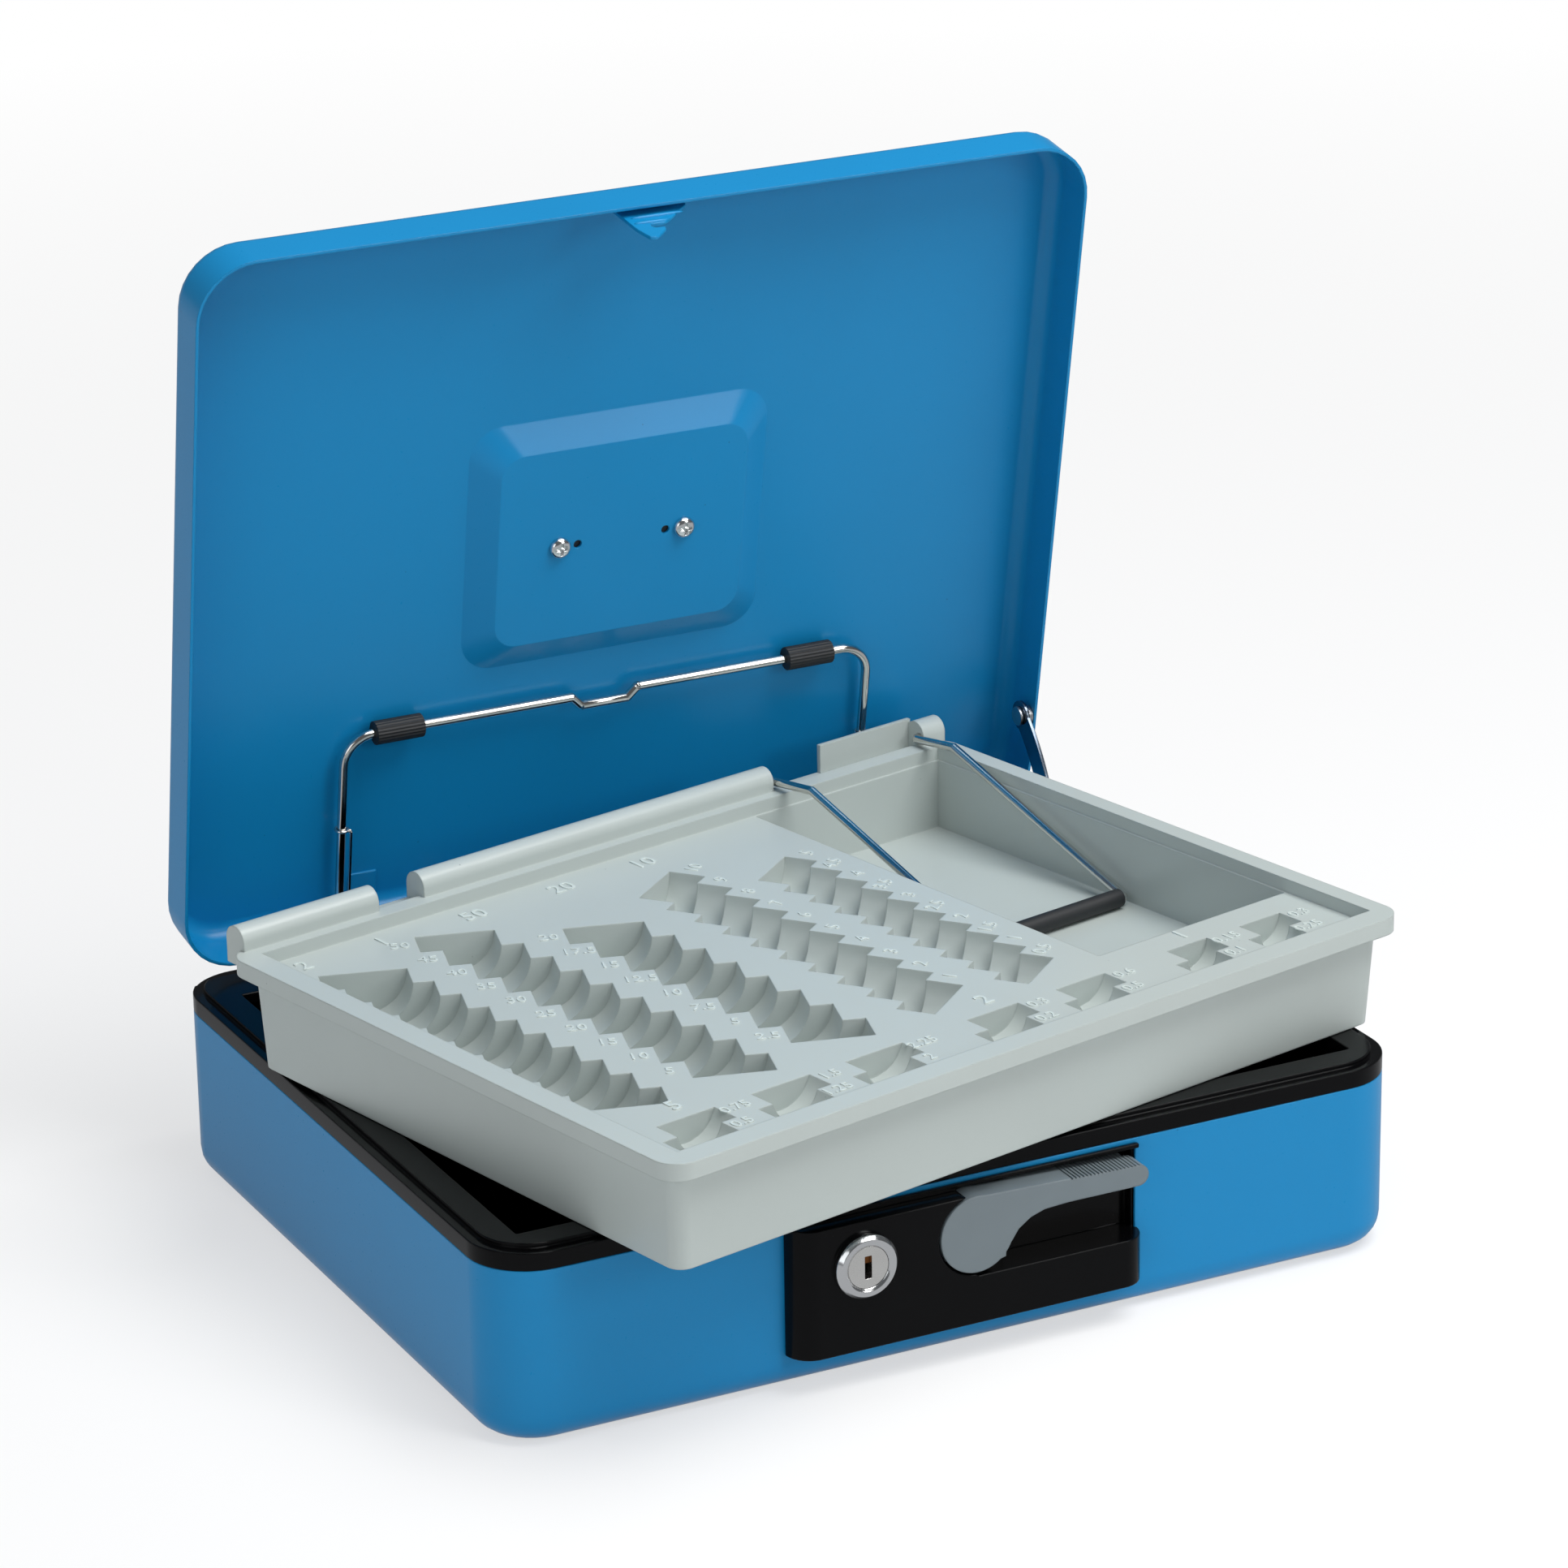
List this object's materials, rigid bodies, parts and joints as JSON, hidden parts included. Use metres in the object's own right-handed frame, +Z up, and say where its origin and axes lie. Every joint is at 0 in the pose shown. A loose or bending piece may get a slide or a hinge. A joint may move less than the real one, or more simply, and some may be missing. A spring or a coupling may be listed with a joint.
{
  "type": "cash box",
  "caption": "Steel cash box with a hinged lid, lift-out coin tray, key lock, latch lever, folding handle and note clamps, drawn open.",
  "frame": {"origin": "middle of the base's underside", "axes": "+X to the right along the front, +Y to the back, +Z up; the lid opens about X and is drawn open"},
  "size_m": [0.321, 0.2888, 0.3035],
  "materials": {
    "blue_steel": "satin powder coat",
    "black_gloss": "glossy moulded ABS",
    "black_satin": "satin",
    "zinc": "bright zinc plate",
    "chrome": "polished",
    "nickel": "turned",
    "brass": "worn",
    "grey_plastic": "satin slate grey",
    "spring_steel": "bare",
    "rubber": "satin",
    "tray_plastic": "satin pale grey-green"
  },
  "bodies": {
    "base": {"base_pan": "blue_steel", "collar": "black_gloss", "inner_tub": "black_satin", "lock_housing": "black_gloss", "housing_screws": "zinc", "lock_barrel": "chrome", "lock_nut": "zinc", "latch_spring": "spring_steel", "latch_bracket": "zinc", "latch_screws": "zinc", "hinge_leaves_base": "blue_steel", "hinge_pins": "zinc", "hinge_rivets": "zinc"},
    "plug": {"lock_plug": "nickel", "lock_wafers": "brass", "lock_cam": "zinc"},
    "lever": {"lever": "grey_plastic", "lever_crank": "zinc"},
    "bolt": {"latch_bolt": "zinc"},
    "lid": {"lid_pan": "blue_steel", "lid_hook": "blue_steel", "hinge_leaves_lid": "blue_steel", "stay_rivet": "zinc", "handle_plate": "black_satin", "handle_screws": "chrome", "clamp_brackets": "blue_steel"},
    "stay": {"stay": "spring_steel"},
    "handle": {"handle_bail": "chrome"},
    "lid_clamp": {"clamp_wire": "chrome", "clamp_sleeves": "rubber", "clamp_springs": "spring_steel"},
    "tray": {"coin_tray": "tray_plastic"},
    "tray_clamp": {"tray_clamp_wire": "chrome", "tray_clamp_sleeve": "rubber"}
  },
  "joints": [
    {"name": "lid_hinge", "type": "hinge", "parent": "base", "child": "lid", "pos_m": [0, 0.118, 0.068], "axis": [1, 0, 0], "range_deg": [0, 80]},
    {"name": "stay_pivot", "type": "hinge", "parent": "lid", "child": "stay", "pos_m": [0.146, 0.10833, 0.0998], "axis": [1, 0, 0], "range_deg": [-52.5, 0]},
    {"name": "handle_pivot", "type": "hinge", "parent": "lid", "child": "handle", "pos_m": [0, 0.10738, 0.18696], "axis": [1, 0, 0], "range_deg": [0, 90]},
    {"name": "lid_clamp_pivot", "type": "hinge", "parent": "lid", "child": "lid_clamp", "pos_m": [0, 0.12426, 0.07164], "axis": [1, 0, 0], "range_deg": [0, 11], "stiffness_Nm_per_rad": 0.03, "springref_deg": -28.65},
    {"name": "lever_pivot", "type": "hinge", "parent": "base", "child": "lever", "pos_m": [-0.001, -0.12, 0.0398], "axis": [0, 1, 0], "range_deg": [0, 14], "stiffness_Nm_per_rad": 0.05, "springref_deg": -28.65},
    {"name": "bolt_slide", "type": "slide", "parent": "base", "child": "bolt", "axis": [1, 0, 0], "range_m": [0, 0.0035], "deforming": ["latch_spring"]},
    {"name": "plug_turn", "type": "hinge", "parent": "base", "child": "plug", "pos_m": [-0.038, -0.12, 0.0385], "axis": [0, 1, 0], "range_deg": [-90, 0]},
    {"name": "tray_lift", "type": "slide", "parent": "base", "child": "tray", "axis": [0, -0.99, 0.141], "range_m": [0, 0.305]},
    {"name": "tray_clamp_pivot", "type": "hinge", "parent": "tray", "child": "tray_clamp", "pos_m": [0.07562, 0.09889, 0.0998], "axis": [-0.9748, -0.2233, 0], "range_deg": [0, 70]}
  ],
  "couplings": [
    {"joint": "stay_pivot", "follows": "lid_hinge", "ratio": -0.65},
    {"joint": "bolt_slide", "follows": "lever_pivot", "m_per_rad": 0.0138},
    {"joint": "tray_lift", "follows": "lid_hinge", "m_per_rad": 0.215}
  ]
}
